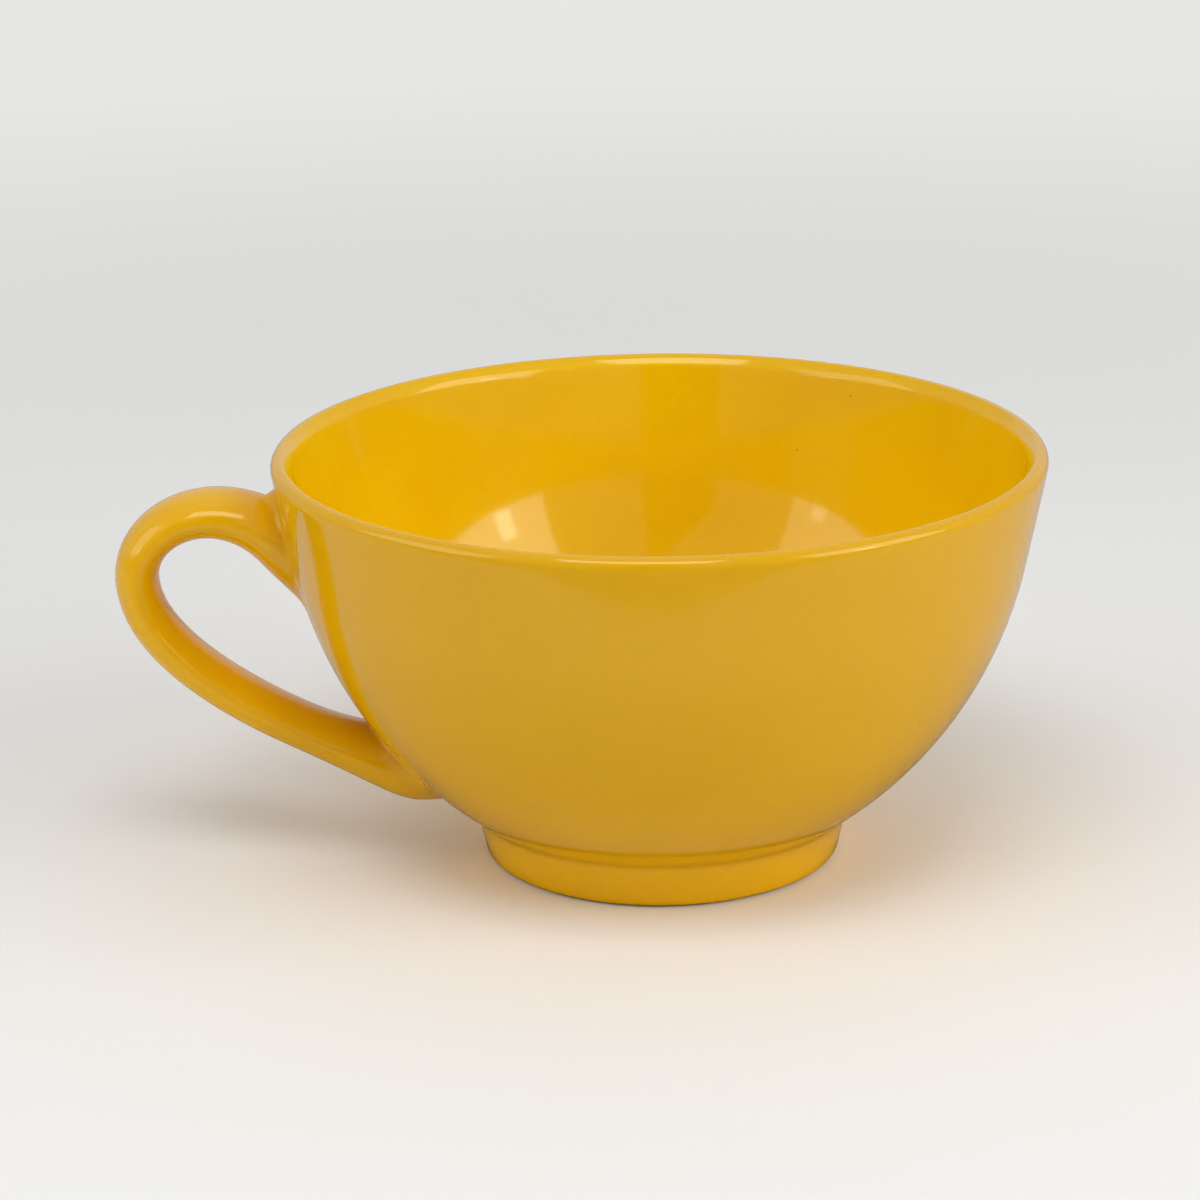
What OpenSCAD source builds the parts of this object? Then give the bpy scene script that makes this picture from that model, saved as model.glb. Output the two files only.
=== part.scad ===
// Soup mug: a wide bowl on a foot ring, with one loop handle, under a glossy yellow glaze.
// The clay pieces are luted with slip, and the glaze lies over all but the standing ring.
// Outside sizes are finished sizes, over the glaze. Millimetres, Z up, bowl axis on Z,
// standing face at Z = 0, handle towards -X.

/* [Bowl] */
// Diameter over the rim
rim_d = 140; // [120:1:170]
// Height from the standing face to the rim
height = 76.6; // [66:0.2:100]
// Thickness of the wall at the rim
rim_t = 3.6; // [3:0.1:5]
// Lean of the straight upper wall, in degrees from upright
wall_lean = 11.25; // [6:0.25:16]
// Height where the straight wall runs into the round belly
belly_top = 56.8; // [50:0.2:62]
// Radius of the belly curve inside
inner_belly_r = 56; // [50:0.5:58]
// Height of the flat floor inside
floor_z = 9.5; // [8:0.25:14]
// Height of the flat underside inside the foot ring
recess_h = 4; // [2:0.25:5]

/* [Foot ring] */
// Diameter of the foot where it meets the belly
foot_d = 69; // [60:0.5:80]
// Height where the foot meets the belly
foot_h = 8.5; // [7:0.1:12]
// How much narrower the foot is at the standing face than at the belly, across it
foot_taper = 4; // [0:0.5:8]
// Thickness of the ring at the standing face
foot_t = 4.5; // [3.5:0.1:6]
// Bevel on both edges of the standing face
foot_bevel = 0.8; // [0.4:0.1:1.2]

/* [Handle] */
// Reach of the handle past the rim
handle_reach = 28.8; // [24:0.1:40]
// Thickness of the handle in the plane of its loop
handle_t = 8; // [6:0.1:12]
// Width of the handle across its loop
handle_w = 15; // [9:0.1:20]
// Depth of the upper joint's middle below the rim
upper_drop = 16.5; // [14:0.1:24]
// Height of the lower joint's middle above the top of the foot
lower_lift = 9.5; // [7:0.1:14]
// Depth of the outermost point of the loop below the rim
bow_drop = 21.9; // [18:0.1:32]
// Rise of the handle as it leaves the upper joint, in degrees
upper_rise = 46; // [15:1:50]
// Rise of the handle as it turns into the lower joint, in degrees
lower_rise = 0; // [0:1:40]
// Thickness of the handle at the upper joint
upper_joint_t = 11.8; // [10:0.1:18]
// Length over which the handle thickens to the upper joint
upper_flare = 28; // [10:0.5:32]
// Thickness of the handle at the lower joint
lower_joint_t = 13.8; // [10:0.1:17]
// Length over which the handle thickens to the lower joint
lower_flare = 21.5; // [15:0.5:32]
// Width that the handle gains at each joint
joint_spread = 2; // [0:0.1:6]

/* [Slip and glaze] */
// Thickness of the luting slip in a joint
slip_t = 0.4; // [0.2:0.05:0.8]
// Thickness of the glaze
glaze_t = 0.4; // [0.2:0.05:0.6]
// Height of the bare band above the standing face
bare_h = 1; // [0.6:0.1:2]

/* [Hidden] */
$fn = 96;

clay_tint = "#e6d8bd";
slip_tint = "#cdbb98";
glaze_tint = "#dca70a";

// Room that a cutting shape has past what it cuts
past = 20;
// Depth by which a straight stretch sinks into the round one that it runs into
lap = 0.01;
// Length by which a round stretch runs on past that place
overrun = 2;

// Wall: u points square out of the straight wall, and the lip is a circle on the wall's middle
u = [cos(wall_lean), -sin(wall_lean)];
lip_r = rim_t / 2;
lip = [rim_d / 2 - lip_r, height - lip_r];

// Outside belly curve, which is tangent to the straight wall at belly_top and runs to the foot
belly_edge = [lip.x + lip_r / u.x - (lip.y - belly_top) * tan(wall_lean), belly_top];
foot_edge = [foot_d / 2, foot_h];
belly_way = foot_edge - belly_edge;
belly_r = -(belly_way * belly_way) / (2 * belly_way * u);
belly_c = belly_edge - belly_r * u;

// Radii of the foot ring at the standing face, outside and inside
foot_outer_r = (foot_d - foot_taper) / 2;
foot_inner_r = foot_outer_r - foot_t;

// Centre of the inside belly curve, which is tangent to the straight wall and to the floor
inner_z = floor_z + inner_belly_r;
inner_c = [lip.x - ((inner_z - lip.y) * u.y + lip_r + inner_belly_r) / u.x, inner_z];

// Radius of the finished outside wall at height z
function wall_r(z) =
    z > belly_top ? belly_edge.x + (z - belly_top) * tan(wall_lean)
    : belly_c.x + sqrt(belly_r ^ 2 - (belly_c.y - z) ^ 2);

// Height at radius r of the line through point p that runs along u
function u_line(p, r) = p.y - (r - p.x) * tan(wall_lean);

// Handle: its middle line is two Bezier spans from the upper joint to the bow to the lower joint
upper_dir = [cos(upper_rise), sin(upper_rise)];
lower_dir = [-cos(lower_rise), sin(lower_rise)];
upper_root = [wall_r(height - upper_drop), height - upper_drop];
lower_root = [wall_r(foot_h + lower_lift), foot_h + lower_lift];
bow = [rim_d / 2 + handle_reach - handle_t / 2, height - bow_drop];
down = [0, -1];

// How far the line holds its direction out of the upper joint, into and out of the bow, and
// into the lower joint, as shares of the way between the ends of each span
upper_hold = 0.605;
bow_in_hold = 0.387;
bow_out_hold = 0.322;
lower_hold = 0.09;
upper_way = norm(bow - upper_root);
lower_way = norm(lower_root - bow);
upper_span = [
    upper_root,
    upper_root + upper_hold * upper_way * upper_dir,
    bow - bow_in_hold * upper_way * down,
    bow
];
lower_span = [
    bow,
    bow + bow_out_hold * lower_way * down,
    lower_root - lower_hold * lower_way * lower_dir,
    lower_root
];
upper_rings = 12;
lower_rings = 16;
ring_sides = 16;

function bezier(p, t) =
    (1 - t) ^ 3 * p[0] + 3 * t * (1 - t) ^ 2 * p[1] + 3 * t ^ 2 * (1 - t) * p[2] + t ^ 3 * p[3];
function bezier_dir(p, t) =
    (1 - t) ^ 2 * (p[1] - p[0]) + 2 * t * (1 - t) * (p[2] - p[1]) + t ^ 2 * (p[3] - p[2]);

// Share of a joint's swelling left at a distance from that joint
function swell(distance, length) = max(0, 1 - distance / length) ^ 2;

// One oval ring of the handle round point c, square to direction d; grow is 0 on the finished face
function handle_ring(c, d, near_upper, near_lower, grow) =
    let (
        across = [-d.y, d.x] / norm(d),
        thick = handle_t + (upper_joint_t - handle_t) * near_upper + (lower_joint_t - handle_t) * near_lower,
        half_t = thick / 2 + grow,
        half_w = (handle_w + joint_spread * (near_upper + near_lower)) / 2 + grow
    )
    [for (i = [0:ring_sides - 1])
        let (
            a = 360 * i / ring_sides,
            p = c + half_t * cos(a) * across
        )
        [-p.x, half_w * sin(a), p.y]];

function span_ring(span, t, grow) =
    let (c = bezier(span, t))
    handle_ring(c, bezier_dir(span, t), swell(norm(c - upper_root), upper_flare),
        swell(norm(c - lower_root), lower_flare), grow);

// Rings of the whole handle; the first and last lie inside the bowl
function handle_rings(grow) =
    concat(
        [handle_ring(upper_root - upper_joint_t * upper_dir, upper_dir, 1, 0, grow)],
        [for (i = [0:upper_rings]) span_ring(upper_span, i / upper_rings, grow)],
        [for (i = [1:lower_rings]) span_ring(lower_span, i / lower_rings, grow)],
        [handle_ring(lower_root + lower_joint_t * lower_dir, lower_dir, 0, 1, grow)]
    );

// The handle as if it ran on through the wall
module handle_loop(grow) {
    rings = handle_rings(grow);
    n = ring_sides;
    last = (len(rings) - 1) * n;
    sides = [for (k = [0:len(rings) - 2], i = [0:n - 1])
        let (
            a = k * n + i,
            b = k * n + (i + 1) % n
        )
        each [[a, b + n, b], [a, a + n, b + n]]];
    caps = [for (i = [1:n - 2]) each [[0, i, i + 1], [last, last + i + 1, last + i]]];
    polyhedron(points = [for (ring = rings) each ring], faces = concat(sides, caps));
}

// Half section of the bowl as if solid, up to the lip's middle; grow is 0 on the finished face
module bowl_fill(grow) {
    under = recess_h - grow;
    far = rim_d;
    intersection() {
        translate(belly_c) circle(belly_r + grow);
        polygon([
            [0, under],
            [far, under],
            [far, u_line(belly_c, far) + overrun],
            [0, u_line(belly_c, 0) + overrun]
        ]);
    }
    polygon([
        [0, under],
        [foot_inner_r, under],
        belly_c + (belly_r + grow - lap) * u,
        lip + (lip_r + grow - lap) * u,
        [0, u_line(lip, 0)]
    ]);
}

// Half section of the hollow inside the bowl, which runs on past the rim
module bowl_hollow(grow) {
    reach = inner_belly_r - grow;
    far = rim_d;
    inner_edge = lip - (lip_r + grow - lap) * u;
    up = [-u.y, u.x];
    flat_r = max(0, inner_c.x);
    flat_z = inner_c.y - sqrt(reach ^ 2 - (flat_r - inner_c.x) ^ 2);
    intersection() {
        translate(inner_c) circle(reach);
        polygon([
            [0, 0],
            [far, 0],
            [far, u_line(inner_c, far) + overrun],
            [0, u_line(inner_c, 0) + overrun]
        ]);
    }
    polygon([
        [0, flat_z + lap],
        [flat_r, flat_z + lap],
        inner_c + (reach - lap) * u,
        inner_edge,
        inner_edge + past * up,
        [0, inner_edge.y + past]
    ]);
}

// Half section of the bowl's wall, floor and lip, with what stands under it as children
module bowl_section(grow) {
    difference() {
        union() {
            bowl_fill(grow);
            children();
        }
        bowl_hollow(grow);
    }
    translate(lip) circle(lip_r + grow);
}

// Half section of the foot as if it ran on into the bowl's wall
module foot_block(grow) {
    slope = foot_taper / 2 / foot_h;
    top = foot_h + rim_t / 2;
    outer = foot_outer_r + grow;
    inner = foot_inner_r - grow;
    polygon([
        [inner + foot_bevel, 0],
        [outer - foot_bevel, 0],
        [outer + slope * foot_bevel, foot_bevel],
        [outer + slope * top, top],
        [inner, top],
        [inner, foot_bevel]
    ]);
}

// Half section of the bowl and foot in their glaze
module glazed_section() {
    bowl_section(0) difference() {
        foot_block(0);
        square([rim_d, bare_h]);
    }
}

// Half section of the bowl and foot in bare clay
module clay_section() {
    bowl_section(-glaze_t) foot_block(-glaze_t);
}

// Half section of the space below the floor and inside the middle of the foot ring
module below_floor() {
    square([(foot_inner_r + foot_outer_r) / 2, (recess_h + floor_z) / 2]);
}

// The handle, ending just below the face of the bowl's clay
module handle_stub(grow) {
    difference() {
        handle_loop(grow);
        rotate_extrude() bowl_fill(-2 * glaze_t);
    }
}

// The clay bowl
module bowl() {
    color(clay_tint) rotate_extrude() bowl_section(-glaze_t);
}

// The clay ring that the mug stands on
module foot_ring() {
    color(clay_tint) rotate_extrude() difference() {
        foot_block(-glaze_t);
        bowl_fill(slip_t - glaze_t);
    }
}

// The slip between the bowl and its foot ring
module foot_slip() {
    color(slip_tint) rotate_extrude() intersection() {
        foot_block(-glaze_t);
        difference() {
            bowl_fill(slip_t - glaze_t);
            bowl_fill(-glaze_t);
        }
    }
}

// The clay handle, coped at both ends to the wall and its slip
module handle() {
    color(clay_tint) difference() {
        handle_loop(-glaze_t);
        rotate_extrude() bowl_fill(slip_t - glaze_t);
    }
}

// Slip between the wall and the handle, from height z0 to z1
module handle_slip(z0, z1) {
    color(slip_tint) intersection() {
        handle_loop(-glaze_t);
        rotate_extrude() difference() {
            bowl_fill(slip_t - glaze_t);
            bowl_fill(-glaze_t);
        }
        translate([-rim_d, -rim_d / 2, z0]) cube([rim_d, rim_d, z1 - z0]);
    }
}

// Height that parts the upper joint from the lower one
joint_split = (upper_root.y + lower_root.y) / 2;

module upper_handle_slip() {
    handle_slip(joint_split, height);
}

module lower_handle_slip() {
    handle_slip(0, joint_split);
}

// Glaze inside the bowl, over the rim, down the outside and round the handle
module glaze_coat() {
    color(glaze_tint) difference() {
        union() {
            rotate_extrude() difference() {
                glazed_section();
                below_floor();
            }
            handle_stub(0);
        }
        rotate_extrude() clay_section();
        handle_stub(-glaze_t);
    }
}

// Glaze on the underside inside the foot ring
module base_glaze() {
    color(glaze_tint) rotate_extrude() difference() {
        intersection() {
            glazed_section();
            below_floor();
        }
        clay_section();
    }
}

bowl();
foot_ring();
foot_slip();
handle();
upper_handle_slip();
lower_handle_slip();
glaze_coat();
base_glaze();
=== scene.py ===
"""Yellow soup mug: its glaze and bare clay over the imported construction, on a pale studio floor."""

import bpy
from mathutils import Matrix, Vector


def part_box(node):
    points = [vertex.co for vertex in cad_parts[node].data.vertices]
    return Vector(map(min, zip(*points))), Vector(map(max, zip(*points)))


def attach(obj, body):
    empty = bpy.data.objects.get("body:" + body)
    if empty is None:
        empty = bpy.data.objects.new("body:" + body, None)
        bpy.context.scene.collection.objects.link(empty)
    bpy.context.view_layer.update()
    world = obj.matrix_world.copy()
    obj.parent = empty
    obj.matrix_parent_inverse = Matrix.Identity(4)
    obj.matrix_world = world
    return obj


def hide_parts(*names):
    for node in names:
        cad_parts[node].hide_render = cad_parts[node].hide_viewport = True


bl_info = {
    "name": "Yellow soup mug",
    "version": (1, 0, 0),
    "blender": (4, 5, 0),
    "location": "View3D > Sidebar > Soup mug",
    "description": "Glazes the clay of a soup mug and sets it on a pale floor",
    "category": "Add Mesh",
}

import math

import bmesh
import bpy
from bpy.props import FloatProperty, FloatVectorProperty, IntProperty, PointerProperty
from mathutils import Matrix, Vector

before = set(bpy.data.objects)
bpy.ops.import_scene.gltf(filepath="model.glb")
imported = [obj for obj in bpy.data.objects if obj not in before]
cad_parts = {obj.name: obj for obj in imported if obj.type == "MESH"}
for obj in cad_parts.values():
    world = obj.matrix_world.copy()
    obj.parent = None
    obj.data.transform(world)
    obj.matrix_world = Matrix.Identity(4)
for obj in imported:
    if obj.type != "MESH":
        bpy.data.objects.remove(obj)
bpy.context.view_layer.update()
COAT_LOW, COAT_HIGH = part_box("glaze_coat")

CLAY_NODES = ("bowl", "foot_ring", "handle")
SLIP_NODES = ("foot_slip", "upper_handle_slip", "lower_handle_slip")

# Faces along each stretch of the coat's line, from the foot's glaze line to the floor's middle
EDGE_STEPS, FOOT_STEPS, CREASE_STEPS, BELLY_STEPS, WALL_STEPS = 4, 4, 5, 18, 6
INNER_WALL_STEPS, INNER_BELLY_STEPS, FLOOR_STEPS = 7, 22, 2
# Angle where the round edge of the glaze starts at the foot, in degrees
EDGE_START = -75
# Columns of faces round the glaze on the underside
BASE_COLUMNS = 96
# Halvings of a stretch of the handle's line in a search along it
HALVINGS = 40
# Colour of the background where the camera sees it
PALE = (0.93, 0.93, 0.92)


# Sizes and colours that a user would change

class BowlSizes(bpy.types.PropertyGroup):
    """Finished sizes of the bowl and its foot, over the glaze"""
    rim_r: FloatProperty(
        name="Rim radius", description="Radius over the rim",
        default=COAT_HIGH.x, unit="LENGTH", precision=4)
    height: FloatProperty(
        name="Height", description="Height from the standing face to the rim",
        default=COAT_HIGH.z, unit="LENGTH", precision=4)
    rim_t: FloatProperty(
        name="Rim thickness", description="Thickness of the wall at the rim",
        default=0.0036, unit="LENGTH", precision=4)
    wall_lean: FloatProperty(
        name="Wall lean", description="Lean of the straight upper wall from upright",
        default=math.radians(11.25), subtype="ANGLE")
    belly_top: FloatProperty(
        name="Belly top", description="Height where the straight wall runs into the belly",
        default=0.0568, unit="LENGTH", precision=4)
    inner_belly_r: FloatProperty(
        name="Inside belly radius", description="Radius of the belly curve inside",
        default=0.056, unit="LENGTH", precision=4)
    floor_z: FloatProperty(
        name="Floor height", description="Height of the flat floor inside",
        default=0.0095, unit="LENGTH", precision=4)
    foot_r: FloatProperty(
        name="Foot radius", description="Radius of the foot where it meets the belly",
        default=0.0345, unit="LENGTH", precision=4)
    foot_h: FloatProperty(
        name="Foot height", description="Height where the foot meets the belly",
        default=0.0085, unit="LENGTH", precision=4)
    foot_base_r: FloatProperty(
        name="Foot base radius", description="Radius of the foot at the standing face",
        default=0.0325, unit="LENGTH", precision=4)
    foot_t: FloatProperty(
        name="Foot thickness", description="Thickness of the foot ring at the standing face",
        default=0.0045, unit="LENGTH", precision=4)
    recess_h: FloatProperty(
        name="Recess height", description="Height of the flat underside inside the foot ring",
        default=0.004, unit="LENGTH", precision=4)
    crease_round: FloatProperty(
        name="Crease round", description="How far the glaze rounds the crease above the foot",
        default=0.003, unit="LENGTH", precision=4)
    foot_round: FloatProperty(
        name="Foot edge radius", description="Radius of the glaze round the foot's lower edge",
        default=0.0009, unit="LENGTH", precision=4)
    glaze_t: FloatProperty(
        name="Glaze thickness", description="Thickness of the glaze",
        default=0.0004, unit="LENGTH", precision=5)
    bare_h: FloatProperty(
        name="Bare band", description="Height of the bare band above the standing face",
        default=0.001, unit="LENGTH", precision=4)
    columns: IntProperty(
        name="Columns", description="Columns of faces round the bowl",
        default=128)


class HandleSizes(bpy.types.PropertyGroup):
    """Finished sizes of the handle, over the glaze"""
    reach: FloatProperty(
        name="Reach", description="Distance from the bowl's axis to the outside of the loop",
        default=-COAT_LOW.x, unit="LENGTH", precision=4)
    thick: FloatProperty(
        name="Thickness", description="Thickness of the handle in the plane of its loop",
        default=0.008, unit="LENGTH", precision=4)
    wide: FloatProperty(
        name="Width", description="Width of the handle across its loop",
        default=0.015, unit="LENGTH", precision=4)
    upper_drop: FloatProperty(
        name="Upper joint depth", description="Depth of the upper joint's middle below the rim",
        default=0.0165, unit="LENGTH", precision=4)
    lower_lift: FloatProperty(
        name="Lower joint height", description="Height of the lower joint's middle above the foot",
        default=0.0095, unit="LENGTH", precision=4)
    bow_drop: FloatProperty(
        name="Bow depth", description="Depth of the outermost point of the loop below the rim",
        default=0.0219, unit="LENGTH", precision=4)
    upper_rise: FloatProperty(
        name="Upper rise", description="Rise of the handle as it leaves the upper joint",
        default=math.radians(46), subtype="ANGLE")
    lower_rise: FloatProperty(
        name="Lower rise", description="Rise of the handle as it turns into the lower joint",
        default=0, subtype="ANGLE")
    upper_joint_t: FloatProperty(
        name="Upper joint thickness", description="Thickness of the handle at the upper joint",
        default=0.0118, unit="LENGTH", precision=4)
    upper_flare: FloatProperty(
        name="Upper flare", description="Length over which the handle thickens to the upper joint",
        default=0.028, unit="LENGTH", precision=4)
    lower_joint_t: FloatProperty(
        name="Lower joint thickness", description="Thickness of the handle at the lower joint",
        default=0.0138, unit="LENGTH", precision=4)
    lower_flare: FloatProperty(
        name="Lower flare", description="Length over which the handle thickens to the lower joint",
        default=0.0215, unit="LENGTH", precision=4)
    joint_spread: FloatProperty(
        name="Joint spread", description="Width that the handle gains at the upper joint",
        default=0.002, unit="LENGTH", precision=4)
    lower_spread: FloatProperty(
        name="Lower joint spread", description="Width that the handle gains at the lower joint",
        default=0.007, unit="LENGTH", precision=4)
    fillet: FloatProperty(
        name="Joint fillet", description="How far the hollow of each joint reaches along wall and handle",
        default=0.0032, unit="LENGTH", precision=4)
    low_fillet: FloatProperty(
        name="Lowest fillet", description="How far the hollow under the lower joint reaches",
        default=0.0012, unit="LENGTH", precision=4)
    rings: IntProperty(
        name="Rings", description="Rings of faces along the handle",
        default=40)


class GlazeLooks(bpy.types.PropertyGroup):
    """Colours and gloss of the glaze and the clay"""
    body: FloatVectorProperty(
        name="Glaze", description="Colour of the glaze at its usual thickness",
        default=(0.79, 0.422, 0.0015), subtype="COLOR", min=0, max=1)
    # Painted light: a lighter, yellower copy of the glaze for the inside of the bowl, standing in for the
    # bright light that fills it.
    inner: FloatVectorProperty(
        name="Inside glaze", description="Colour of the glaze inside the bowl, where it lies thicker",
        default=(0.9, 0.555, 0.001), subtype="COLOR", min=0, max=1)
    # Painted light: a lighter copy of the glaze for the foot and the handle, laid on to make up for the
    # light they get less of.
    foot_handle_painted_light: FloatVectorProperty(
        name="Thin glaze", description="Colour where the glaze lies thin, on the foot and handle",
        default=(0.98, 0.53, 0.0015), subtype="COLOR", min=0, max=1)
    pooled: FloatVectorProperty(
        name="Pooled glaze", description="Colour where the glaze gathers in a hollow",
        default=(0.7, 0.34, 0.001), subtype="COLOR", min=0, max=1)
    speck: FloatVectorProperty(
        name="Specks", description="Colour of the rare specks fired into the glaze",
        default=(0.2, 0.1, 0.01), subtype="COLOR", min=0, max=1)
    roughness: FloatProperty(
        name="Roughness", description="Roughness of the glossy glaze",
        default=0.07, min=0, max=1)
    clay: FloatVectorProperty(
        name="Clay", description="Colour of the bare fired clay",
        default=(0.72, 0.6, 0.42), subtype="COLOR", min=0, max=1)
    slip: FloatVectorProperty(
        name="Slip", description="Colour of the fired slip in the joints",
        default=(0.56, 0.45, 0.3), subtype="COLOR", min=0, max=1)


class StageSetup(bpy.types.PropertyGroup):
    """Camera, floor and lamps"""
    eye: FloatVectorProperty(
        name="Camera", description="Place of the camera",
        default=(-0.04985, -0.64675, 0.25554), subtype="XYZ", unit="LENGTH")
    aim: FloatVectorProperty(
        name="Aim", description="Point that the camera looks at",
        default=(-0.01094, 0.00086, 0.0474), subtype="XYZ", unit="LENGTH")
    roll: FloatProperty(
        name="Roll", description="Turn of the camera about its own line of sight",
        default=math.radians(-0.814), subtype="ANGLE")
    lens: FloatProperty(
        name="Lens", description="Focal length in millimetres",
        default=111.78)
    floor: FloatProperty(
        name="Floor", description="Paleness of the floor", default=0.95, min=0, max=1)
    left: FloatProperty(
        name="Left softbox", description="Brightness of the left softbox", default=1.55)
    right: FloatProperty(
        name="Right softbox", description="Brightness of the right softbox", default=2.65)
    left_bulb: FloatProperty(
        name="Left bulb", description="Brightness of the bulb in front of the left softbox", default=2.2)
    right_bulb: FloatProperty(
        name="Right bulb", description="Brightness of the bulb in front of the right softbox", default=4.5)
    top: FloatProperty(
        name="Top lamp", description="Brightness of the lamp above the camera", default=3.9)
    mirrored: FloatVectorProperty(
        name="Mirrored lamps", description="Tint of the lamps where the glaze mirrors them",
        default=(0.9, 1, 0.74), subtype="COLOR", min=0, max=1)
    room: FloatProperty(
        name="Room", description="Brightness of the grey room", default=0.45)
    back: FloatProperty(
        name="Backdrop", description="Brightness of the backdrop behind the mug", default=0.6)


# Shape of the bowl and handle, as points (radius, height) in the plane of the handle

class MugShape:
    """Curves of the finished mug, worked out from its sizes"""

    # How far the handle's line holds its direction at each end of its two spans
    UPPER_HOLD, BOW_IN_HOLD, BOW_OUT_HOLD, LOWER_HOLD = 0.605, 0.387, 0.322, 0.09

    def __init__(self, bowl, handle):
        self.bowl = bowl
        self.handle = handle
        lean = bowl.wall_lean
        self.out = Vector((math.cos(lean), -math.sin(lean)))
        self.lip_r = bowl.rim_t / 2
        self.lip = Vector((bowl.rim_r - self.lip_r, bowl.height - self.lip_r))
        run = (self.lip.y - bowl.belly_top) * math.tan(lean)
        self.belly_edge = Vector((self.lip.x + self.lip_r / self.out.x - run, bowl.belly_top))
        self.foot_edge = Vector((bowl.foot_r, bowl.foot_h))
        way = self.foot_edge - self.belly_edge
        self.belly_r = -way.length_squared / (2 * way.dot(self.out))
        self.belly_c = self.belly_edge - self.belly_r * self.out
        inner_z = bowl.floor_z + bowl.inner_belly_r
        side = (inner_z - self.lip.y) * self.out.y + self.lip_r + bowl.inner_belly_r
        self.inner_c = Vector((self.lip.x - side / self.out.x, inner_z))
        self.set_handle_line()

    def set_handle_line(self):
        h, top = self.handle, self.bowl.height
        self.upper_dir = Vector((math.cos(h.upper_rise), math.sin(h.upper_rise)))
        self.lower_dir = Vector((-math.cos(h.lower_rise), math.sin(h.lower_rise)))
        self.upper_root = self.on_wall(top - h.upper_drop)
        self.lower_root = self.on_wall(self.bowl.foot_h + h.lower_lift)
        bow = Vector((h.reach - h.thick / 2, top - h.bow_drop))
        down = Vector((0, -1))
        upper_way = (bow - self.upper_root).length
        lower_way = (self.lower_root - bow).length
        self.spans = (
            (self.upper_root, self.upper_root + self.UPPER_HOLD * upper_way * self.upper_dir,
             bow - self.BOW_IN_HOLD * upper_way * down, bow),
            (bow, bow + self.BOW_OUT_HOLD * lower_way * down,
             self.lower_root - self.LOWER_HOLD * lower_way * self.lower_dir, self.lower_root),
        )

    def wall_r(self, z):
        """Radius of the outside wall at a height"""
        if z > self.bowl.belly_top:
            return self.belly_edge.x + (z - self.bowl.belly_top) * math.tan(self.bowl.wall_lean)
        return self.belly_c.x + math.sqrt(self.belly_r ** 2 - (self.belly_c.y - z) ** 2)

    def on_wall(self, z):
        return Vector((self.wall_r(z), z))

    def wall_normal(self, z):
        """Direction square out of the wall at a height"""
        if z > self.bowl.belly_top:
            return self.out.copy()
        return (self.on_wall(z) - self.belly_c).normalized()

    def off_wall(self, p):
        """Distance of a point from the outside wall, above 0 outside"""
        if (p - self.belly_c).normalized().y > self.out.y:
            return (p - self.lip).dot(self.out) - self.lip_r
        return (p - self.belly_c).length - self.belly_r

    def line(self, t):
        """Point, direction and swell at each joint of the handle's line; t is 0 and 2 at the roots"""
        if t <= 0:
            return self.upper_root + t * self.handle.upper_joint_t * self.upper_dir, self.upper_dir, 1, 0
        if t >= 2:
            reach = (t - 2) * self.handle.lower_joint_t
            return self.lower_root + reach * self.lower_dir, self.lower_dir, 0, 1
        a, b, c, d = self.spans[int(t)]
        t = t - int(t)
        s = 1 - t
        p = s ** 3 * a + 3 * t * s * s * b + 3 * t * t * s * c + t ** 3 * d
        direction = s * s * (b - a) + 2 * t * s * (c - b) + t * t * (d - c)
        upper = max(0, 1 - (p - self.upper_root).length / self.handle.upper_flare) ** 2
        lower = max(0, 1 - (p - self.lower_root).length / self.handle.lower_flare) ** 2
        return p, direction.normalized(), upper, lower

    def outline(self, t, side):
        """Point on the handle's outline, outside the loop for side 1 and inside it for -1"""
        p, direction, upper, lower = self.line(t)
        h = self.handle
        thick = h.thick + (h.upper_joint_t - h.thick) * upper + (h.lower_joint_t - h.thick) * lower
        return p + side * thick / 2 * Vector((-direction.y, direction.x))

    def half_width(self, t):
        upper, lower = self.line(t)[2:]
        h = self.handle
        return (h.wide + h.joint_spread * upper + h.lower_spread * lower) / 2

    def meets_wall(self, side, t_out, t_in):
        """Where the handle's outline meets the wall, between t_out off the wall and t_in inside it"""
        for _ in range(HALVINGS):
            middle = (t_out + t_in) / 2
            if self.off_wall(self.outline(middle, side)) > 0:
                t_out = middle
            else:
                t_in = middle
        return t_out

    def skin(self, t, turn):
        """Point on the handle's skin; turn is 0 on the outside of the loop"""
        p = self.line(t)[0]
        p = p + math.cos(turn) * (self.outline(t, 1) - p)
        return Vector((-p.x, self.half_width(t) * math.sin(turn), p.y))


def arc(centre, radius, start, end, steps):
    """Points of an arc from one angle to another, in degrees"""
    angles = [math.radians(start + (end - start) * i / steps) for i in range(steps + 1)]
    return [centre + radius * Vector((math.cos(a), math.sin(a))) for a in angles]


def between(a, b, steps):
    """Points inside a straight stretch, without its ends"""
    return [a.lerp(b, i / steps) for i in range(1, steps)]


# Modelling by hand

def deselect_all():
    bpy.ops.object.select_all(action="DESELECT")


def edit(piece):
    deselect_all()
    piece.select_set(True)
    bpy.context.view_layer.objects.active = piece
    bpy.ops.object.mode_set(mode="EDIT")
    return bmesh.from_edit_mesh(piece.data)


def leave_edit():
    bpy.ops.object.mode_set(mode="OBJECT")


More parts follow.
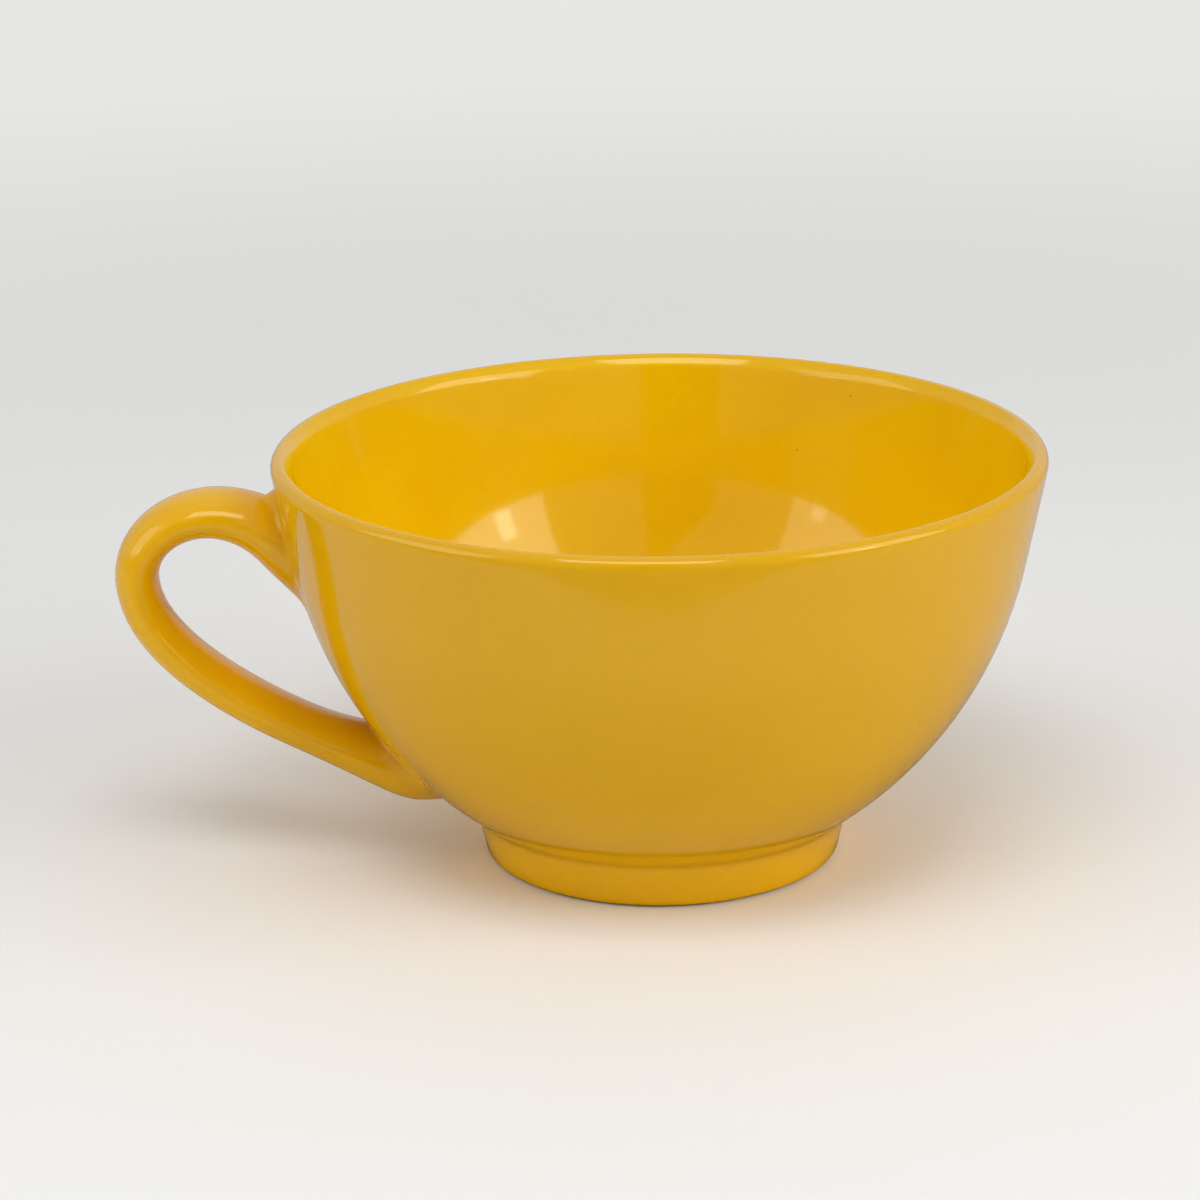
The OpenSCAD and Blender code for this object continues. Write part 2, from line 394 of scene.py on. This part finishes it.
def spun_sheet(name, profile, columns):
    """A sheet of revolution, drawn as one line from its open edge to the axis and then spun"""
    deselect_all()
    bpy.ops.mesh.primitive_plane_add(size=profile[0].x)
    piece = bpy.context.object
    piece.name = piece.data.name = name
    edit(piece)
    bpy.ops.mesh.select_all(action="SELECT")
    bpy.ops.mesh.merge(type="CENTER")
    bpy.ops.transform.translate(value=(profile[0].x, 0, profile[0].y))
    for a, b in zip(profile, profile[1:]):
        step = (b.x - a.x, 0, b.y - a.y)
        bpy.ops.mesh.extrude_region_move(TRANSFORM_OT_translate={"value": step})
    bpy.ops.mesh.select_all(action="SELECT")
    bpy.ops.mesh.spin(steps=columns, angle=2 * math.pi, center=(0, 0, 0), axis=(0, 0, 1))
    bpy.ops.mesh.select_all(action="SELECT")
    bpy.ops.mesh.remove_doubles(threshold=1e-6)
    bpy.ops.mesh.normals_make_consistent(inside=False)
    leave_edit()
    return piece


def apply_modifier(piece, kind, **settings):
    """Adds a modifier and applies it"""
    deselect_all()
    piece.select_set(True)
    bpy.context.view_layer.objects.active = piece
    modifier = piece.modifiers.new(kind.title(), kind)
    for key, value in settings.items():
        setattr(modifier, key, value)
    bpy.ops.object.modifier_apply(modifier=modifier.name)


def subdivide(piece, levels):
    apply_modifier(piece, "SUBSURF", levels=levels, render_levels=levels)


# The glaze coat

def hollow(a, corner, b, steps):
    """Points of a smooth hollow between two lines that meet in a corner, without its ends"""
    shares = [i / steps for i in range(1, steps)]
    return [(1 - t) ** 2 * a + 2 * t * (1 - t) * corner + t * t * b for t in shares]


def belly_line(shape):
    """The outside curve from the end of the crease up to the straight wall"""
    way = shape.foot_edge - shape.belly_c
    start = math.degrees(math.atan2(way.y, way.x) + shape.bowl.crease_round / shape.belly_r)
    return arc(shape.belly_c, shape.belly_r, start, -math.degrees(shape.bowl.wall_lean), BELLY_STEPS)


def lip_line(shape):
    """The lip: round outside and on top, then a broad soft slope inside"""
    lean = math.degrees(shape.bowl.wall_lean)
    top, slope, end = 90, 135, 147
    inner_r = 180 - lean
    slope_r, foot_r = 3.9 * shape.lip_r, 1.7 * shape.lip_r

    def across(start, stop):
        return math.cos(math.radians(stop + lean)) - math.cos(math.radians(start + lean))

    left = -2 * shape.lip_r - shape.lip_r * across(-lean, top)
    left -= slope_r * across(slope, end) + foot_r * across(end, inner_r)
    turn_r = left / across(top, slope)
    line = arc(shape.lip, shape.lip_r, -lean, top, 6)
    for radius, start, stop, steps in (
            (turn_r, top, slope, 4), (slope_r, slope, end, 4), (foot_r, end, inner_r, 3)):
        square = Vector((math.cos(math.radians(start)), math.sin(math.radians(start))))
        line += arc(line[-1] - radius * square, radius, start, stop, steps)[1:]
    return line


def coat_profile(shape):
    """Line of the finished face from the foot's glaze line, over the rim, to the floor's middle"""
    bowl = shape.bowl
    slope = (bowl.foot_r - bowl.foot_base_r) / bowl.foot_h
    lean = math.degrees(bowl.wall_lean)

    def foot(z):
        return Vector((bowl.foot_base_r + slope * z, z))

    turn = math.degrees(math.atan(slope))
    tip = foot(bowl.bare_h)
    tip_c = tip - bowl.foot_round * Vector((math.cos(math.atan(slope)), -math.sin(math.atan(slope))))
    line = arc(tip_c, bowl.foot_round, EDGE_START, -turn, EDGE_STEPS)
    crease_low = foot(bowl.foot_h - bowl.crease_round)
    line += between(line[-1], crease_low, FOOT_STEPS)
    belly = belly_line(shape)
    line += [crease_low] + hollow(crease_low, shape.foot_edge, belly[0], CREASE_STEPS) + belly
    wall_end = shape.lip + shape.lip_r * shape.out
    line += between(line[-1], wall_end, WALL_STEPS)
    line += lip_line(shape)
    inner_start = shape.inner_c + bowl.inner_belly_r * shape.out
    line += between(line[-1], inner_start, INNER_WALL_STEPS)
    line += arc(shape.inner_c, bowl.inner_belly_r, -lean, -90, INNER_BELLY_STEPS)
    line += between(line[-1], Vector((0, bowl.floor_z)), FLOOR_STEPS)
    return line + [Vector((0, bowl.floor_z))]


class Joint:
    """One end of the handle: the ring where its fillet starts and the oval where that meets the wall"""

    def __init__(self, shape, ends, gaps, reaches, cells):
        self.shape = shape
        self.ends = ends
        self.gaps = gaps
        self.cells = cells
        heights = []
        for side, reach in zip((1, -1), reaches):
            corner = shape.outline(shape.meets_wall(side, *ends), side)
            heights.append((corner.y, reach * shape.wall_normal(corner.y).x))
        (low, low_reach), (high, high_reach) = sorted(heights)
        self.low, self.high = low - low_reach, high + high_reach
        self.middle = (self.low + self.high) / 2
        self.half_width = shape.half_width(self.neck(math.pi / 2)) + reaches[2]

    def neck(self, turn):
        """Where the handle's line has to be for its skin to stand off the wall by the fillet's gap"""
        outer, inner, side = self.gaps
        share = math.cos(turn) ** 2
        gap = share * (outer if math.cos(turn) > 0 else inner) + (1 - share) * side
        t_out, t_in = self.ends
        for _ in range(HALVINGS):
            middle = (t_out + t_in) / 2
            skin = self.shape.skin(middle, turn)
            if self.shape.off_wall(Vector((skin.xy.length, skin.z))) > gap:
                t_out = middle
            else:
                t_in = middle
        return t_out

    def oval(self, turn):
        """Point of the oval on the wall; turn is 0 at its top"""
        z = self.middle + (self.high - self.low) / 2 * math.cos(turn)
        y = self.half_width * math.sin(turn)
        return Vector((-math.sqrt(self.shape.wall_r(z) ** 2 - y * y), y, z))


def group_selected(piece, name):
    """Puts the selected points into a vertex group"""
    group = piece.vertex_groups.get(name) or piece.vertex_groups.new(name=name)
    piece.vertex_groups.active_index = group.index
    bpy.ops.object.vertex_group_assign()


def group_shares(piece, name):
    """Share of each point in a vertex group"""
    index = piece.vertex_groups[name].index
    return [sum(g.weight for g in v.groups if g.group == index) for v in piece.data.vertices]


def group_wall(piece, shape):
    """Marks the points of the outside wall, between the crease and the lip"""
    low, high = belly_line(shape)[0].y, (shape.lip + shape.lip_r * shape.out).y
    mesh = edit(piece)
    for vert in mesh.verts:
        off = vert.co.xy.length - shape.wall_r(vert.co.z)
        vert.select = abs(off) < shape.lip_r / 2 and low < vert.co.z < high
    mesh.select_flush_mode()
    bmesh.update_edit_mesh(piece.data)
    group_selected(piece, "wall")
    leave_edit()


def true_wall(piece, shape):
    """Brings the marked points back onto the true curve of the wall"""
    shares = group_shares(piece, "wall")
    for vert, share in zip(piece.data.vertices, shares):
        if share > 0.999:
            grow = shape.wall_r(vert.co.z) / vert.co.xy.length
            vert.co.x *= grow
            vert.co.y *= grow


def open_wall(piece, joint, rows):
    """Takes the wall's faces out behind a joint and brings the hole's edge to the joint's oval"""
    columns, deep = joint.cells
    middle = min(range(len(rows)), key=lambda i: abs(rows[i] - joint.middle))
    low, high = rows[middle - deep // 2], rows[middle + deep // 2]
    half_turn = columns / 2 * 2 * math.pi / joint.shape.bowl.columns
    mesh = edit(piece)
    for face in mesh.faces:
        c = face.calc_center_median()
        outside = c.xy.dot(face.normal.xy) > 0
        facing = abs(math.atan2(c.y, -c.x)) < half_turn
        face.select = outside and facing and low < c.z < high
    edge_verts = [
        v for v in mesh.verts
        if any(f.select for f in v.link_faces) and not all(f.select for f in v.link_faces)
    ]
    edge_verts.sort(key=lambda v: math.atan2(v.co.y, v.co.z - (low + high) / 2) % (2 * math.pi))
    for i, vert in enumerate(edge_verts):
        vert.co = joint.oval(2 * math.pi * i / len(edge_verts))
    bmesh.update_edit_mesh(piece.data)
    bpy.ops.mesh.delete(type="FACE")
    leave_edit()
    ease_round_hole(piece, joint)
    return len(edge_verts)


def ease_round_hole(piece, joint):
    """Evens out the wall's faces round a new hole, whose own edge stays"""
    past_edge = 1.9
    reach = past_edge * (joint.oval(0) - joint.oval(math.pi)).length / 2
    centre = joint.oval(0).lerp(joint.oval(math.pi), 0.5)
    shares = group_shares(piece, "wall")
    mesh = edit(piece)
    for vert, share in zip(mesh.verts, shares):
        near = (vert.co - centre).length < reach
        vert.select = near and share > 0.5 and not vert.is_boundary
    mesh.select_flush_mode()
    bmesh.update_edit_mesh(piece.data)
    bpy.ops.mesh.vertices_smooth(factor=0.5, repeat=12)
    leave_edit()
    true_wall(piece, joint.shape)


def handle_tube(shape, joints, sides):
    """The handle between its two necks, drawn out ring by ring and then brought to its true skin"""
    upper, lower = joints
    start, end = [(joint.neck(0) + joint.neck(math.pi)) / 2 for joint in joints]
    steps = shape.handle.rings
    eased = 0.3

    def place(share, turn):
        near_upper = max(0, 1 - share / eased) ** 2
        near_lower = max(0, 1 - (1 - share) / eased) ** 2
        t = start + (end - start) * share
        t += (upper.neck(turn) - start) * near_upper + (lower.neck(turn) - end) * near_lower
        return shape.skin(t, turn)

    deselect_all()
    bpy.ops.mesh.primitive_circle_add(vertices=sides, radius=1)
    tube = bpy.context.object
    edit(tube)
    bpy.ops.mesh.select_all(action="SELECT")
    for _ in range(steps):
        bpy.ops.mesh.extrude_region_move(TRANSFORM_OT_translate={"value": (0, 0, 1)})
    leave_edit()
    for vert in tube.data.vertices:
        turn = math.atan2(vert.co.y, vert.co.x)
        vert.co = place(round(vert.co.z) / steps, turn)
    edit(tube)
    bpy.ops.mesh.select_all(action="SELECT")
    bpy.ops.mesh.normals_make_consistent(inside=False)
    leave_edit()
    return tube


def bridge(piece, is_joint):
    """Joins the handle's open end to the hole behind it with a smooth fillet"""
    mesh = edit(piece)
    bpy.ops.mesh.select_mode(type="EDGE")
    bpy.ops.mesh.select_all(action="DESELECT")
    for e in mesh.edges:
        e.select_set(e.is_boundary and is_joint((e.verts[0].co + e.verts[1].co) / 2))
    bmesh.update_edit_mesh(piece.data)
    bpy.ops.mesh.bridge_edge_loops(
        number_cuts=5, interpolation="SURFACE", smoothness=1, profile_shape_factor=0)
    bpy.ops.mesh.select_mode(type="VERT")
    group_selected(piece, "joints")
    leave_edit()


def mark_points(piece, name, values):
    """Stores one value per point for the material to read"""
    attribute = piece.data.attributes.new(name, "FLOAT", "POINT")
    attribute.data.foreach_set("value", values)


def inside_share(shape, p):
    """1 on the inner face of the bowl, 0 outside, eased over the lip"""
    lip = shape.lip_r
    depth = shape.wall_r(max(p.z, shape.bowl.foot_h)) - p.xy.length
    return min(1, max(0, (depth - lip) / lip))


def glaze_coat(shape):
    """The glaze inside, over the rim, down the outside and round the handle, as one smooth coat"""
    bowl, handle = shape.bowl, shape.handle
    profile = coat_profile(shape)
    coat = spun_sheet("yellow_glaze_coat", profile, bowl.columns)
    group_wall(coat, shape)
    top = profile.index(max(profile, key=lambda p: p.y))
    rows = [p.y for p in profile[:top]]
    wide, low = handle.fillet, handle.low_fillet
    upper = Joint(
        shape, ends=(0.8, -1), gaps=(0.7 * wide, 0.5 * wide, wide), reaches=(wide, wide, wide), cells=(6, 8))
    lower = Joint(
        shape, ends=(1.2, 3), gaps=(0.6 * low, 0.4 * wide, wide),
        reaches=(low, 0.8 * wide, 1.4 * wide), cells=(8, 6))
    sides = open_wall(coat, upper, rows)
    open_wall(coat, lower, rows)
    tube = handle_tube(shape, (upper, lower), sides)
    deselect_all()
    tube.select_set(True)
    coat.select_set(True)
    bpy.context.view_layer.objects.active = coat
    bpy.ops.object.join()
    split = (shape.upper_root.y + shape.lower_root.y) / 2
    bridge(coat, lambda p: p.z > split)
    bridge(coat, lambda p: bowl.bare_h * 2 < p.z < split)
    subdivide(coat, 1)
    true_wall(coat, shape)
    apply_modifier(coat, "SOLIDIFY", thickness=bowl.glaze_t, offset=-1)
    mark_points(coat, "joint_hollow", group_shares(coat, "joints"))
    mark_points(coat, "bowl_inside", [inside_share(shape, v.co) for v in coat.data.vertices])
    coat.vertex_groups.clear()
    deselect_all()
    coat.select_set(True)
    bpy.ops.object.shade_smooth()
    return coat


def base_glaze(shape):
    """The glaze on the underside, inside the foot ring"""
    bowl = shape.bowl
    inner = bowl.foot_base_r - bowl.foot_t
    corner = Vector((inner, bowl.recess_h))
    round_r = 0.4 * bowl.recess_h
    start = Vector((inner, bowl.bare_h))
    turn = arc(corner - Vector((round_r, round_r)), round_r, 0, 90, 6)
    centre = Vector((0, bowl.recess_h))
    profile = [start] + between(start, turn[0], 2) + turn + between(turn[-1], centre, 5) + [centre]
    glaze = spun_sheet("yellow_base_glaze", profile, BASE_COLUMNS)
    mesh = edit(glaze)
    if max(mesh.faces, key=lambda f: f.calc_center_median().z).normal.z > 0:
        bpy.ops.mesh.select_all(action="SELECT")
        bpy.ops.mesh.flip_normals()
    leave_edit()
    subdivide(glaze, 1)
    apply_modifier(glaze, "SOLIDIFY", thickness=bowl.glaze_t, offset=-1)
    deselect_all()
    glaze.select_set(True)
    bpy.ops.object.shade_smooth()
    return glaze


# Materials

class Socket:
    """One output of a material's nodes; arithmetic on it adds Math nodes"""

    def __init__(self, tree, output=None):
        self.tree = tree
        self.output = output

    def node(self, kind, settings=(), inputs=(), out=0):
        """Adds a node, sets it up, fills its sockets by name or place, and gives one of its outputs"""
        made = self.tree.nodes.new(kind)
        for key, value in dict(settings).items():
            setattr(made, key, value)
        for key, value in dict(inputs).items():
            if isinstance(value, Socket):
                self.tree.links.new(value.output, made.inputs[key])
            else:
                made.inputs[key].default_value = value
        return Socket(self.tree, made.outputs[out])

    def math(self, operation, other=0.0):
        return self.node("ShaderNodeMath", {"operation": operation}, {0: self, 1: other})

    def __add__(self, other):
        return self.math("ADD", other)

    def __sub__(self, other):
        return self.math("SUBTRACT", other)

    def __rsub__(self, other):
        return self.node("ShaderNodeMath", {"operation": "SUBTRACT"}, {0: other, 1: self})

    def __mul__(self, other):
        return self.math("MULTIPLY", other)

    __radd__ = __add__

    def smooth(self, low, high):
        """0 below low, 1 above high and an eased rise between them"""
        settings = {"interpolation_type": "SMOOTHSTEP"}
        return self.node("ShaderNodeMapRange", settings, {"Value": self, "From Min": low, "From Max": high})

    def spread(self, low, high, first, last):
        """Straight change from the first to the last value as this one goes from low to high"""
        ends = {"Value": self, "From Min": low, "From Max": high, "To Min": first, "To Max": last}
        return self.node("ShaderNodeMapRange", {}, ends)

    def part(self, name):
        """Another output of the same node"""
        return Socket(self.tree, self.output.node.outputs[name])

    def between(self, first, second):
        """Colour that goes from the first to the second as this value goes from 0 to 1"""
        settings = {"data_type": "RGBA"}
        return self.node("ShaderNodeMix", settings, {0: self, 6: first, 7: second}, out=2)


def opaque(colour):
    return (*colour, 1)


def new_material(name):
    """An empty material: its nodes' start, its object coordinates and its shader node"""
    material = bpy.data.materials.new(name)
    material.use_nodes = True
    tree = material.node_tree
    shader = tree.nodes["Principled BSDF"]
    start = Socket(tree)
    return material, start, start.node("ShaderNodeTexCoord", out="Object"), shader


def feed(shader, name, value):
    shader.id_data.links.new(value.output, shader.inputs[name])


def noise(start, where, scale, detail=2.0):
    return start.node("ShaderNodeTexNoise", {}, {"Vector": where, "Scale": scale, "Detail": detail})


def yellow_glaze(shape, looks):
    """Glossy glaze with painted light: lighter on the foot, the handle and inside the bowl; deeper in the
    hollows, with rare specks
    """
    bowl = shape.bowl
    material, start, where, shader = new_material("yellow_glaze")
    z = start.node("ShaderNodeSeparateXYZ", {}, {0: where}, out="Z")
    flat = start.node("ShaderNodeVectorMath", {"operation": "MULTIPLY"}, {0: where, 1: (1, 1, 0)})
    radius = start.node("ShaderNodeVectorMath", {"operation": "LENGTH"}, {0: flat}, out="Value")

    def ring_distance(r, height):
        dr, dz = radius - r, z - height
        return (dr * dr + dz * dz).math("SQRT")

    crease = 1 - ring_distance(bowl.foot_r, bowl.foot_h).smooth(0.0006, 0.0035)
    hollows = start.node("ShaderNodeAttribute", {"attribute_name": "joint_hollow"}, {}, out="Fac")
    handle_full, handle_start = -0.078, -0.066
    handle = 1 - z.part("X").smooth(handle_full, handle_start)
    foot_blend = 0.001
    foot = 1 - z.smooth(bowl.foot_h - foot_blend, bowl.foot_h + foot_blend)
    cloud = noise(start, where, 38, 3)
    grain = noise(start, where, 900, 1)
    cells = start.node("ShaderNodeTexVoronoi", {}, {"Vector": where, "Scale": 95, "Randomness": 1})
    chance = start.node("ShaderNodeSeparateColor", {}, {0: cells.part("Color")}, out=0)
    speck = (1 - cells.smooth(0.012, 0.028)) * chance.smooth(0.86, 0.9)

    pooled = (crease * 0.2).math("MAXIMUM", hollows * 0.3)
    # Painted light: the inside of the bowl takes the lighter, yellower copy of the glaze.
    inside = start.node("ShaderNodeAttribute", {"attribute_name": "bowl_inside"}, {}, out="Fac")
    tint = inside.between(opaque(looks.body), opaque(looks.inner))
    tint = pooled.between(tint, opaque(looks.pooled))
    # Painted light: the foot, and the handle at a little over half strength, are lightened towards the
    # lighter copy.
    foot_handle_painted_light = foot.math("MAXIMUM", handle * 0.55)
    tint = foot_handle_painted_light.between(tint, opaque(looks.foot_handle_painted_light))
    deeper = cloud.smooth(0.35, 0.75) * 0.16 + grain.smooth(0.4, 0.7) * 0.05
    tint = deeper.between(tint, opaque(looks.pooled))
    tint = (speck * 0.7).between(tint, opaque(looks.speck))
    feed(shader, "Base Color", tint)
    dull = crease.math("MAXIMUM", hollows) * 0.12
    feed(shader, "Roughness", looks.roughness + cloud * 0.03 + speck * 0.2 + dull)
    bump = start.node("ShaderNodeBump", {}, {"Strength": 0.1, "Distance": 0.0001, "Height": 1 - speck})
    feed(shader, "Normal", bump)
    shader.inputs["IOR"].default_value = 1.5
    return material


def fired_clay(name, colour, speck_share):
    """Matt fired clay with a fine sandy grain"""
    material, start, where, shader = new_material(name)
    cloud = noise(start, where, 60, 4)
    sand = noise(start, where, 2600, 2)
    dark_share = 0.62
    dark = opaque([dark_share * c for c in colour])
    tint = (cloud.smooth(0.3, 0.7) * 0.25).between(opaque(colour), dark)
    tint = (sand.smooth(0.62, 0.72) * speck_share).between(tint, dark)
    feed(shader, "Base Color", tint)
    feed(shader, "Roughness", 0.78 + sand * 0.15)
    bump = start.node("ShaderNodeBump", {}, {"Strength": 0.35, "Distance": 0.0001, "Height": sand})
    feed(shader, "Normal", bump)
    return material


def dress(piece, material):
    piece.data.materials.clear()
    piece.data.materials.append(material)


# Stage

def camera_turn(setup):
    """Turn of the photograph's camera round the mug, 0 in front of it"""
    return math.atan2(setup.eye[0], -setup.eye[1])


def seen_by_camera(start):
    """1 for what the camera sees itself, 0 for what is seen in the glaze or lights it"""
    return start.node("ShaderNodeLightPath", out="Is Camera Ray")


def turned(start, where, angle):
    """Coordinates turned about the upright axis, so that the photograph's camera stands in front"""
    settings = {"rotation_type": "Z_AXIS"}
    return start.node("ShaderNodeVectorRotate", settings, {"Vector": where, "Angle": -angle})


def pale_floor(setup):
    """A floor that is pale to the camera, and darker where the glaze mirrors it, most of all in front"""
    deselect_all()
    bpy.ops.mesh.primitive_circle_add(vertices=96, radius=4, fill_type="NGON")
    floor = bpy.context.object
    floor.name = floor.data.name = "floor"
    material, start, where, shader = new_material("pale_floor")
    y = start.node("ShaderNodeSeparateXYZ", {}, {0: turned(start, where, camera_turn(setup))}, out="Y")
    away = start.node("ShaderNodeVectorMath", {"operation": "LENGTH"}, {0: where}, out="Value")
    # Painted light and shade in the floor that only the glaze mirrors: darker round the mug, with a lighter
    # ring just outside the foot, and much darker past a line in front, towards the camera.
    foot_edge = away.smooth(0.0325, 0.035)
    near = foot_edge * away.spread(0.036, 0.056, 0.58, 0.34) + away.spread(0.05, 0.13, 0, 0.42)
    dim_front = y.smooth(-0.15, -0.144).spread(0, 1, 0.35, 1)
    level = near * dim_front * (0.84 * setup.floor)
    rays = seen_by_camera(start)
    mirrored = rays.part("Is Glossy Ray").between(opaque([setup.floor] * 3), level)
    feed(shader, "Base Color", rays.between(mirrored, opaque(PALE)))
    shader.inputs["Roughness"].default_value = 0.9
    shader.inputs["Specular IOR Level"].default_value = 0.1
    glow = start.node("ShaderNodeEmission", {}, {"Color": opaque((0.8, 0.8, 0.79))})
    surface = Socket(start.tree, shader.outputs[0])
    mixed = start.node(
        "ShaderNodeMixShader", {}, {0: away.smooth(0.15, 0.9) * rays, 1: surface, 2: glow})
    feed(material.node_tree.nodes["Material Output"], "Surface", mixed)
    dress(floor, material)


def studio_room(setup):
    """A pale room to the camera; the glaze mirrors a grey one, with the camera's dark shape in front"""
    world = bpy.context.scene.world or bpy.data.worlds.new("room")
    bpy.context.scene.world = world
    world.use_nodes = True
    start = Socket(world.node_tree)
    way = start.node("ShaderNodeTexCoord", out="Generated")
    x = start.node("ShaderNodeSeparateXYZ", {}, {0: turned(start, way, camera_turn(setup))})
    y, z = x.part("Y"), x.part("Z")
    side = x.math("ARCTAN2", y * -1)
    lift = z.math("ARCSINE")
    deg = math.radians(1)
    middle = lift.spread(22 * deg, 40 * deg, -7 * deg, 1 * deg)
    half = lift.spread(22 * deg, 42 * deg, 13 * deg, 3 * deg)
    past = (side - middle).math("ABSOLUTE") - half
    camera = (1 - past.smooth(-1.5 * deg, 1.5 * deg)) * (1 - lift.smooth(42 * deg, 46 * deg))
    aside = side.math("ABSOLUTE")
    low = (1 - lift.smooth(4 * deg, 12 * deg)) * (1 - aside.smooth(100 * deg, 130 * deg))
    behind = aside.smooth(140 * deg, 155 * deg)
    front = (1 - aside.smooth(40 * deg, 60 * deg)) * (1 - lift.smooth(50 * deg, 70 * deg))
    grey = (1 - camera * 0.95) * (1 - low * 0.55) * (1 - front * 0.3) * setup.room
    lit = grey + behind * (setup.back - setup.room)
    background = world.node_tree.nodes["Background"]
    feed(background, "Color", seen_by_camera(start).between(lit, opaque(PALE)))


def stand(setup, bearing, away, height):
    """A place round the mug; its bearing in degrees is counted from the photograph's camera"""
    turn = camera_turn(setup) + math.radians(bearing)
    return Vector((away * math.sin(turn), -away * math.cos(turn), height))


def soft_lamp(name, setup, brightness, bearing, away, heights, wide):
    """An upright soft panel that faces the mug"""
    low, high = heights
    place = stand(setup, bearing, away, (low + high) / 2)
    add_panel(name, place, Vector((0, 0, place.z)), (wide, high - low), brightness, setup.mirrored)


def top_lamp(setup):
    """The lamp above the camera, a little to its left"""
    place = stand(setup, bearing=-8, away=0.5, height=0.92)
    add_panel("top_lamp", place, Vector((0, 0, 0.05)), (0.6, 0.42), setup.top, setup.mirrored)


def add_panel(name, place, aim, size, brightness, mirrored):
    """A rectangular lamp that faces a point, with a tinted twin that only the glaze's gloss mirrors"""
    for twin, colour in (("", (1, 1, 1)), ("_mirrored", mirrored)):
        lamp = bpy.data.lights.new(name + twin, "AREA")
        lamp.shape = "RECTANGLE"
        lamp.size, lamp.size_y = size
        lamp.color = colour
        lamp.energy = brightness * math.pi * size[0] * size[1]
        # Only the twin may stop a mirrored ray, because both lamps share one place
        lamp.cycles.use_multiple_importance_sampling = bool(twin)
        holder = bpy.data.objects.new(name + twin, lamp)
        bpy.context.scene.collection.objects.link(holder)
        holder.location = place
        holder.rotation_euler = (aim - place).to_track_quat("-Z", "Y").to_euler()
        holder.visible_camera = False
        holder.visible_diffuse = not twin
        holder.visible_glossy = bool(twin)


def photo_camera(setup):
    """The camera at the photograph's viewing angle"""
    camera = bpy.data.objects.new("camera", bpy.data.cameras.new("camera"))
    bpy.context.scene.collection.objects.link(camera)
    sight = (Vector(setup.aim) - Vector(setup.eye)).to_track_quat("-Z", "Y")
    camera.location = setup.eye
    camera.rotation_euler = (sight.to_matrix() @ Matrix.Rotation(setup.roll, 3, "Z")).to_euler()
    camera.data.lens = setup.lens
    camera.data.sensor_width = 36
    camera.data.clip_start = 0.01
    bpy.context.scene.camera = camera


# Operators

def mug_shape(context):
    return MugShape(context.scene.mug_bowl, context.scene.mug_handle)


class MUG_OT_glaze_coat(bpy.types.Operator):
    """Models the glaze inside and outside the bowl and round the handle"""
    bl_idname = "mug.glaze_coat"
    bl_label = "Glaze coat"

    def execute(self, context):
        shape = mug_shape(context)
        coat = glaze_coat(shape)
        dress(coat, yellow_glaze(shape, context.scene.mug_looks))
        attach(coat, "root")
        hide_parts("glaze_coat")
        return {"FINISHED"}


class MUG_OT_base_glaze(bpy.types.Operator):
    """Models the glaze on the underside, inside the foot ring"""
    bl_idname = "mug.base_glaze"
    bl_label = "Base glaze"

    def execute(self, context):
        glaze = base_glaze(mug_shape(context))
        dress(glaze, bpy.data.materials["yellow_glaze"])
        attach(glaze, "root")
        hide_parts("base_glaze")
        return {"FINISHED"}


class MUG_OT_clay(bpy.types.Operator):
    """Gives the clay pieces and the slip in their joints a fired finish"""
    bl_idname = "mug.clay"
    bl_label = "Clay and slip"

    def execute(self, context):
        looks = context.scene.mug_looks
        clay = fired_clay("bare_clay", looks.clay, 0.5)
        slip = fired_clay("fired_slip", looks.slip, 0.2)
        for name in CLAY_NODES:
            dress(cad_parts[name], clay)
        for name in SLIP_NODES:
            dress(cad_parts[name], slip)
        return {"FINISHED"}


class MUG_OT_stage(bpy.types.Operator):
    """Sets up the floor, the lamps and the camera"""
    bl_idname = "mug.stage"
    bl_label = "Stage"

    def execute(self, context):
        setup = context.scene.mug_stage
        pale_floor(setup)
        photo_camera(setup)
        soft_lamp(
            "left_softbox", setup, setup.left, bearing=-72, away=1, heights=(0.26, 1), wide=0.81)
        soft_lamp(
            "right_softbox", setup, setup.right, bearing=65.5, away=1, heights=(0.26, 1), wide=0.83)
        soft_lamp(
            "left_bulb", setup, setup.left_bulb, bearing=-61, away=0.97, heights=(0.26, 0.38), wide=0.09)
        soft_lamp(
            "right_bulb", setup, setup.right_bulb, bearing=60, away=0.97, heights=(0.3, 0.5), wide=0.11)
        top_lamp(setup)
        studio_room(setup)
        context.scene.view_settings.view_transform = "Standard"
        return {"FINISHED"}


class MUG_PT_builder(bpy.types.Panel):
    """Lists the mug's steps"""
    bl_label = "Soup mug"
    bl_space_type = "VIEW_3D"
    bl_region_type = "UI"
    bl_category = "Soup mug"

    def draw(self, context):
        for step in STEPS:
            self.layout.operator(step.bl_idname)


STEPS = (MUG_OT_clay, MUG_OT_glaze_coat, MUG_OT_base_glaze, MUG_OT_stage)
GROUPS = {
    "mug_bowl": BowlSizes,
    "mug_handle": HandleSizes,
    "mug_looks": GlazeLooks,
    "mug_stage": StageSetup,
}


def register():
    for group in (*GROUPS.values(), *STEPS, MUG_PT_builder):
        bpy.utils.register_class(group)
    for name, group in GROUPS.items():
        setattr(bpy.types.Scene, name, PointerProperty(type=group))


def unregister():
    for name in GROUPS:
        delattr(bpy.types.Scene, name)
    for group in (MUG_PT_builder, *STEPS, *GROUPS.values()):
        bpy.utils.unregister_class(group)


def main():
    register()
    bpy.ops.mug.clay()
    bpy.ops.mug.glaze_coat()
    bpy.ops.mug.base_glaze()
    bpy.ops.mug.stage()


if __name__ == "__main__":
    main()
